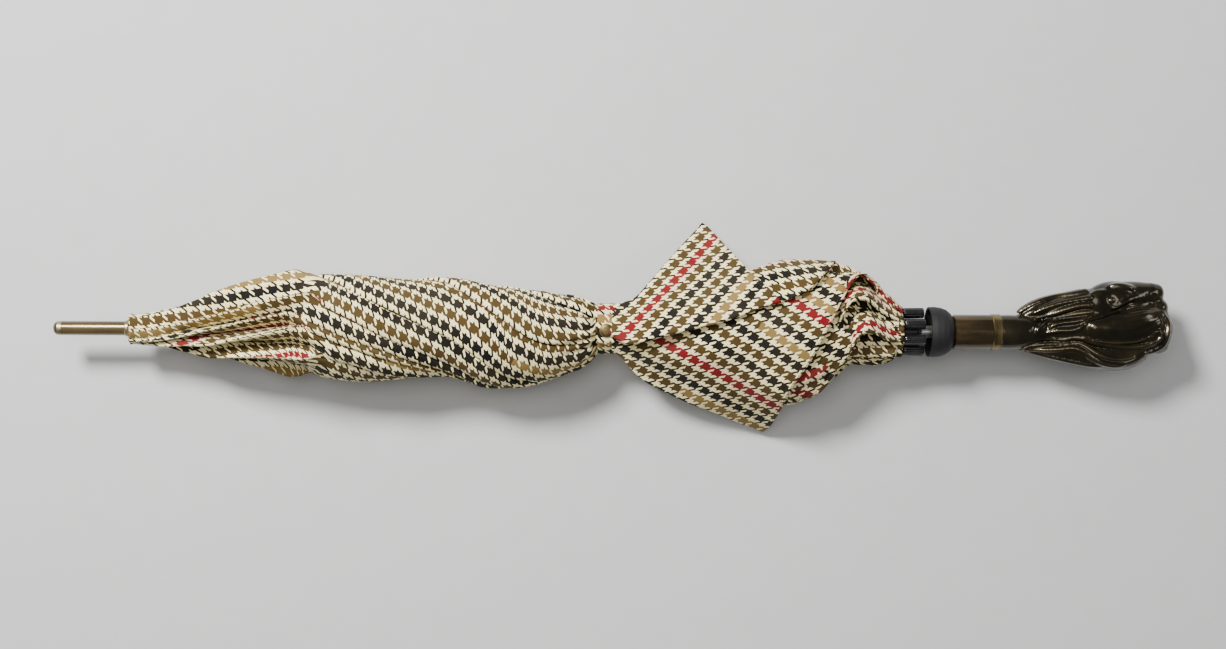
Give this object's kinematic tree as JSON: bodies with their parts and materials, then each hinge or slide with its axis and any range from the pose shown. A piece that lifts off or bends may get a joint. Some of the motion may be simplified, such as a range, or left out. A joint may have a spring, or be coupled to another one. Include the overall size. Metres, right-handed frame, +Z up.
{
  "type": "stick umbrella",
  "caption": "Closed stick umbrella with a wound houndstooth canopy, tie strap, long ferrule and a sculpted bronze dog-head handle; it opens on a runner and folding ribs.",
  "frame": {"origin": "on the floor plane, under the middle of the umbrella's bounding box, as it lies on its side", "axes": "+X along the shaft from the ferrule to the handle, +Y to the side that the dog's forehead faces, +Z up"},
  "size_m": [0.8999, 0.1669, 0.081],
  "materials": {
    "shaft": "dull lacquered steel",
    "ferrule": "dark horn-brown lacquered metal with a long highlight",
    "ferrule_end": "worn lighter metal",
    "frame_black": "moulded black plastic",
    "wire": "bright drawn wire",
    "spring_steel": "polished spring steel",
    "canopy": "houndstooth twill weave in cream, black, olive, red and tan",
    "strap": "houndstooth twill strap",
    "snap": "antique brass",
    "rib_tip": "glossy black",
    "rib": "black enamelled steel",
    "stretcher": "black enamelled steel",
    "tip_cup": "matte black",
    "handle_neck": "cold-cast resin with a dark bronze patina",
    "ring": "polished brass",
    "handle": "cold-cast resin with a dark bronze patina, worn on the ridges"
  },
  "bodies": {
    "root": {"shaft_tube": "shaft", "ferrule": "ferrule", "ferrule_cap": "ferrule_end", "ferrule_collar": "ferrule_end", "top_notch": "frame_black", "notch_wire": "wire", "stop_pin": "wire", "spring_rivets": "wire", "canopy_wrap": "canopy", "canopy_hem": "canopy", "flap_upper": "canopy", "flap_lower": "canopy", "tip_cup": "tip_cup", "neck_sleeve": "handle_neck", "brass_ring": "ring", "dog_head": "handle", "handle_stud": "wire", "handle_pin": "wire"},
    "rib_1_body": {"rib_1": "rib", "rib_tip_1": "rib_tip"},
    "stretcher_1_body": {"stretcher_1": "stretcher"},
    "gore_1_body": {"gore_1": "canopy"},
    "rib_2_body": {"rib_2": "rib", "rib_tip_2": "rib_tip", "strap_band": "strap", "snap_stud": "snap"},
    "stretcher_2_body": {"stretcher_2": "stretcher"},
    "gore_2_body": {"gore_2": "canopy"},
    "rib_3_body": {"rib_3": "rib", "rib_tip_3": "rib_tip"},
    "stretcher_3_body": {"stretcher_3": "stretcher"},
    "gore_3_body": {"gore_3": "canopy"},
    "rib_4_body": {"rib_4": "rib", "rib_tip_4": "rib_tip"},
    "stretcher_4_body": {"stretcher_4": "stretcher"},
    "gore_4_body": {"gore_4": "canopy"},
    "rib_5_body": {"rib_5": "rib", "rib_tip_5": "rib_tip"},
    "stretcher_5_body": {"stretcher_5": "stretcher"},
    "gore_5_body": {"gore_5": "canopy"},
    "rib_6_body": {"rib_6": "rib", "rib_tip_6": "rib_tip"},
    "stretcher_6_body": {"stretcher_6": "stretcher"},
    "gore_6_body": {"gore_6": "canopy"},
    "rib_7_body": {"rib_7": "rib", "rib_tip_7": "rib_tip"},
    "stretcher_7_body": {"stretcher_7": "stretcher"},
    "gore_7_body": {"gore_7": "canopy"},
    "rib_8_body": {"rib_8": "rib", "rib_tip_8": "rib_tip"},
    "stretcher_8_body": {"stretcher_8": "stretcher"},
    "gore_8_body": {"gore_8": "canopy"},
    "runner": {"runner_sleeve": "frame_black", "runner_wire": "wire"},
    "top_spring": {"top_spring": "spring_steel"},
    "hand_spring": {"hand_spring": "spring_steel"},
    "strap_end": {"strap_end": "strap", "snap_cap": "snap"}
  },
  "joints": [
    {"name": "open", "type": "hinge", "parent": "root", "child": "rib_1_body", "pos_m": [-0.383, 0.00693, 0.04287], "axis": [0, -0.3827, 0.9239], "range_deg": [0, 71.21], "deforming": ["canopy_wrap", "canopy_hem", "flap_upper", "flap_lower", "strap_band", "top_spring", "hand_spring", "gore_1", "gore_2", "gore_3", "gore_4", "gore_5", "gore_6", "gore_7", "gore_8"]},
    {"name": "rib_2_hinge", "type": "hinge", "parent": "root", "child": "rib_2_body", "pos_m": [-0.383, 0.00287, 0.04693], "axis": [0, -0.9239, 0.3827], "range_deg": [0, 71.21]},
    {"name": "rib_3_hinge", "type": "hinge", "parent": "root", "child": "rib_3_body", "pos_m": [-0.383, -0.00287, 0.04693], "axis": [0, -0.9239, -0.3827], "range_deg": [0, 71.21]},
    {"name": "rib_4_hinge", "type": "hinge", "parent": "root", "child": "rib_4_body", "pos_m": [-0.383, -0.00693, 0.04287], "axis": [0, -0.3827, -0.9239], "range_deg": [0, 71.21]},
    {"name": "rib_5_hinge", "type": "hinge", "parent": "root", "child": "rib_5_body", "pos_m": [-0.383, -0.00693, 0.03713], "axis": [0, 0.3827, -0.9239], "range_deg": [0, 71.21]},
    {"name": "rib_6_hinge", "type": "hinge", "parent": "root", "child": "rib_6_body", "pos_m": [-0.383, -0.00287, 0.03307], "axis": [0, 0.9239, -0.3827], "range_deg": [0, 71.21]},
    {"name": "rib_7_hinge", "type": "hinge", "parent": "root", "child": "rib_7_body", "pos_m": [-0.383, 0.00287, 0.03307], "axis": [0, 0.9239, 0.3827], "range_deg": [0, 71.21]},
    {"name": "rib_8_hinge", "type": "hinge", "parent": "root", "child": "rib_8_body", "pos_m": [-0.383, 0.00693, 0.03713], "axis": [0, 0.3827, 0.9239], "range_deg": [0, 71.21]},
    {"name": "stretcher_1_hinge", "type": "hinge", "parent": "rib_1_body", "child": "stretcher_1_body", "pos_m": [-0.08703, 0.0107, 0.04443], "axis": [0, -0.3827, 0.9239], "range_deg": [-142.42, 0]},
    {"name": "stretcher_2_hinge", "type": "hinge", "parent": "rib_2_body", "child": "stretcher_2_body", "pos_m": [-0.08703, 0.00443, 0.0507], "axis": [0, -0.9239, 0.3827], "range_deg": [-142.42, 0]},
    {"name": "stretcher_3_hinge", "type": "hinge", "parent": "rib_3_body", "child": "stretcher_3_body", "pos_m": [-0.08703, -0.00443, 0.0507], "axis": [0, -0.9239, -0.3827], "range_deg": [-142.42, 0]},
    {"name": "stretcher_4_hinge", "type": "hinge", "parent": "rib_4_body", "child": "stretcher_4_body", "pos_m": [-0.08703, -0.0107, 0.04443], "axis": [0, -0.3827, -0.9239], "range_deg": [-142.42, 0]},
    {"name": "stretcher_5_hinge", "type": "hinge", "parent": "rib_5_body", "child": "stretcher_5_body", "pos_m": [-0.08703, -0.0107, 0.03557], "axis": [0, 0.3827, -0.9239], "range_deg": [-142.42, 0]},
    {"name": "stretcher_6_hinge", "type": "hinge", "parent": "rib_6_body", "child": "stretcher_6_body", "pos_m": [-0.08703, -0.00443, 0.0293], "axis": [0, 0.9239, -0.3827], "range_deg": [-142.42, 0]},
    {"name": "stretcher_7_hinge", "type": "hinge", "parent": "rib_7_body", "child": "stretcher_7_body", "pos_m": [-0.08703, 0.00443, 0.0293], "axis": [0, 0.9239, 0.3827], "range_deg": [-142.42, 0]},
    {"name": "stretcher_8_hinge", "type": "hinge", "parent": "rib_8_body", "child": "stretcher_8_body", "pos_m": [-0.08703, 0.0107, 0.03557], "axis": [0, 0.3827, 0.9239], "range_deg": [-142.42, 0]},
    {"name": "runner_hinge", "type": "hinge", "parent": "stretcher_1_body", "child": "runner", "pos_m": [0.20894, 0.00693, 0.04287], "axis": [0, -0.3827, 0.9239], "range_deg": [0, 71.21]},
    {"name": "gore_1_fan", "type": "hinge", "parent": "rib_1_body", "child": "gore_1_body", "pos_m": [-0.39089, 0.00683, 0.04283], "axis": [0.0137, -0.8677, -0.4968], "range_deg": [0, 42.69]},
    {"name": "gore_2_fan", "type": "hinge", "parent": "rib_2_body", "child": "gore_2_body", "pos_m": [-0.39089, 0.00283, 0.04683], "axis": [0.0137, -0.2623, -0.9649], "range_deg": [0, 42.69]},
    {"name": "gore_3_fan", "type": "hinge", "parent": "rib_3_body", "child": "gore_3_body", "pos_m": [-0.39089, -0.00283, 0.04683], "axis": [0.0137, 0.4968, -0.8677], "range_deg": [0, 42.69]},
    {"name": "gore_4_fan", "type": "hinge", "parent": "rib_4_body", "child": "gore_4_body", "pos_m": [-0.39089, -0.00683, 0.04283], "axis": [0.0137, 0.9649, -0.2623], "range_deg": [0, 42.69]},
    {"name": "gore_5_fan", "type": "hinge", "parent": "rib_5_body", "child": "gore_5_body", "pos_m": [-0.39089, -0.00683, 0.03717], "axis": [0.0137, 0.8677, 0.4968], "range_deg": [0, 42.69]},
    {"name": "gore_6_fan", "type": "hinge", "parent": "rib_6_body", "child": "gore_6_body", "pos_m": [-0.39089, -0.00283, 0.03317], "axis": [0.0137, 0.2623, 0.9649], "range_deg": [0, 42.69]},
    {"name": "gore_7_fan", "type": "hinge", "parent": "rib_7_body", "child": "gore_7_body", "pos_m": [-0.39089, 0.00283, 0.03317], "axis": [0.0137, -0.4968, 0.8677], "range_deg": [0, 42.69]},
    {"name": "gore_8_fan", "type": "hinge", "parent": "rib_8_body", "child": "gore_8_body", "pos_m": [-0.39089, 0.00683, 0.03717], "axis": [0.0137, -0.9649, 0.2623], "range_deg": [0, 42.69]},
    {"name": "top_spring_press", "type": "hinge", "parent": "root", "child": "top_spring", "pos_m": [-0.126, 0, 0.042], "axis": [0, -1, 0], "range_deg": [0, 5], "stiffness_Nm_per_rad": 0.5},
    {"name": "hand_spring_press", "type": "hinge", "parent": "root", "child": "hand_spring", "pos_m": [0.196, 0, 0.042], "axis": [0, 1, 0], "range_deg": [0, 5], "stiffness_Nm_per_rad": 0.5},
    {"name": "strap_unsnap", "type": "hinge", "parent": "rib_2_body", "child": "strap_end", "pos_m": [-0.0055, 0.0079, 0.05859], "axis": [-1, 0, 0], "range_deg": [0, 100], "stiffness_Nm_per_rad": 0.0005}
  ],
  "couplings": [
    {"joint": "rib_2_hinge", "follows": "open", "ratio": 1},
    {"joint": "rib_3_hinge", "follows": "open", "ratio": 1},
    {"joint": "rib_4_hinge", "follows": "open", "ratio": 1},
    {"joint": "rib_5_hinge", "follows": "open", "ratio": 1},
    {"joint": "rib_6_hinge", "follows": "open", "ratio": 1},
    {"joint": "rib_7_hinge", "follows": "open", "ratio": 1},
    {"joint": "rib_8_hinge", "follows": "open", "ratio": 1},
    {"joint": "stretcher_1_hinge", "follows": "open", "ratio": -2},
    {"joint": "stretcher_2_hinge", "follows": "open", "ratio": -2},
    {"joint": "stretcher_3_hinge", "follows": "open", "ratio": -2},
    {"joint": "stretcher_4_hinge", "follows": "open", "ratio": -2},
    {"joint": "stretcher_5_hinge", "follows": "open", "ratio": -2},
    {"joint": "stretcher_6_hinge", "follows": "open", "ratio": -2},
    {"joint": "stretcher_7_hinge", "follows": "open", "ratio": -2},
    {"joint": "stretcher_8_hinge", "follows": "open", "ratio": -2},
    {"joint": "runner_hinge", "follows": "open", "ratio": 1},
    {"joint": "gore_1_fan", "follows": "open", "ratio": 0.59944},
    {"joint": "gore_2_fan", "follows": "open", "ratio": 0.59944},
    {"joint": "gore_3_fan", "follows": "open", "ratio": 0.59944},
    {"joint": "gore_4_fan", "follows": "open", "ratio": 0.59944},
    {"joint": "gore_5_fan", "follows": "open", "ratio": 0.59944},
    {"joint": "gore_6_fan", "follows": "open", "ratio": 0.59944},
    {"joint": "gore_7_fan", "follows": "open", "ratio": 0.59944},
    {"joint": "gore_8_fan", "follows": "open", "ratio": 0.59944}
  ]
}
